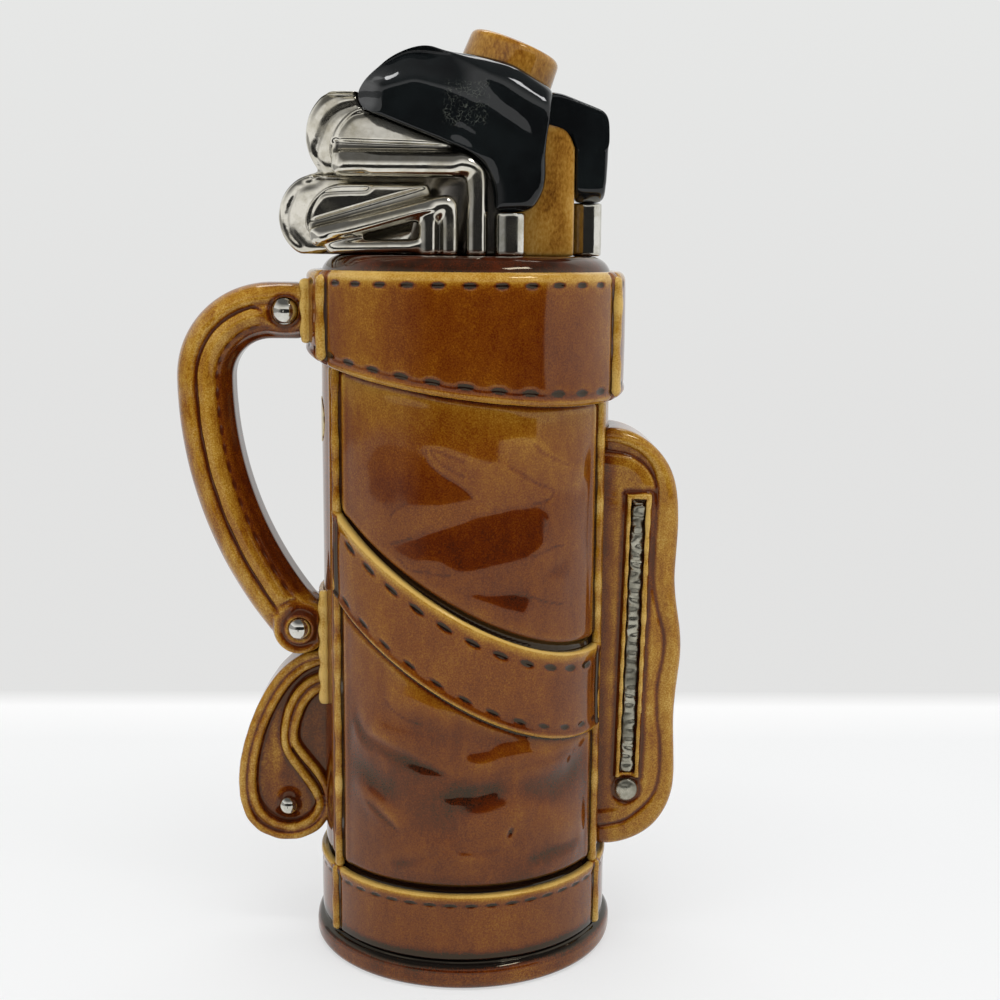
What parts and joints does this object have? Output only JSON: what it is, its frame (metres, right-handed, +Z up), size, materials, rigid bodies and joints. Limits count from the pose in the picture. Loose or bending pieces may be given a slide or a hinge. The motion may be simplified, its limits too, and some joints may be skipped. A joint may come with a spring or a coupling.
{
  "type": "figural liquor decanter",
  "caption": "Glazed stoneware decanter shaped as a golf bag of clubs, with a strap handle, a side pocket and a leaning corked neck among the club heads.",
  "frame": {"origin": "centre of the foot's resting face, on the bag's axis", "axes": "+Z up along the bag's axis; the front faces -Y; the handle is on -X and the side pocket on +X"},
  "size_m": [0.1441, 0.09, 0.2638],
  "materials": {
    "leather_glaze": "glossy brown glaze, darker in the hollows",
    "trim_glaze": "glossy ochre glaze, dark in the grooves",
    "amber_glaze": "glossy amber glaze",
    "dark_glaze": "glossy dark brown glaze",
    "black_glaze": "glossy black glaze",
    "platinum_lustre": "platinum lustre over glaze",
    "cork": "bare cork",
    "foil": "thin foil seal, left blank"
  },
  "bodies": {
    "bottle": {"bag_shell": "leather_glaze", "foot_ring": "dark_glaze", "bottom_band": "leather_glaze", "top_cuff": "leather_glaze", "sash_front": "leather_glaze", "sash_back": "leather_glaze", "bag_deck": "dark_glaze", "pour_neck": "amber_glaze", "front_driver": "black_glaze", "back_driver": "black_glaze", "front_driver_ferrule": "platinum_lustre", "back_driver_ferrule": "platinum_lustre", "fairway_wood": "black_glaze", "fairway_ferrule": "platinum_lustre", "front_upper_iron": "platinum_lustre", "front_lower_iron": "platinum_lustre", "front_wedge": "platinum_lustre", "back_upper_iron": "platinum_lustre", "back_lower_iron": "platinum_lustre", "back_wedge": "platinum_lustre", "middle_upper_iron": "platinum_lustre", "middle_lower_iron": "platinum_lustre", "handle_strap": "trim_glaze", "upper_handle_plate": "trim_glaze", "lower_handle_plate": "trim_glaze", "handle_rivets": "platinum_lustre", "lug_rivets": "platinum_lustre", "loop_rivets": "platinum_lustre", "strap_loop": "trim_glaze", "side_pocket": "leather_glaze", "zip_teeth": "platinum_lustre", "zip_pulls": "platinum_lustre", "foil_seal": "foil", "body_seam_front_left": "trim_glaze", "band_seam_front_left": "trim_glaze", "cuff_seam_front_left": "trim_glaze", "body_seam_front_right": "trim_glaze", "band_seam_front_right": "trim_glaze", "cuff_seam_front_right": "trim_glaze", "body_seam_back_left": "trim_glaze", "band_seam_back_left": "trim_glaze", "cuff_seam_back_left": "trim_glaze", "body_seam_back_right": "trim_glaze", "band_seam_back_right": "trim_glaze", "cuff_seam_back_right": "trim_glaze"},
    "stopper": {"stopper_cap": "amber_glaze", "stopper_cork": "cork"}
  },
  "joints": [
    {"name": "stopper_lift", "type": "slide", "parent": "bottle", "child": "stopper", "axis": [0.3584, 0, 0.9336], "range_m": [0, 0.035]}
  ]
}
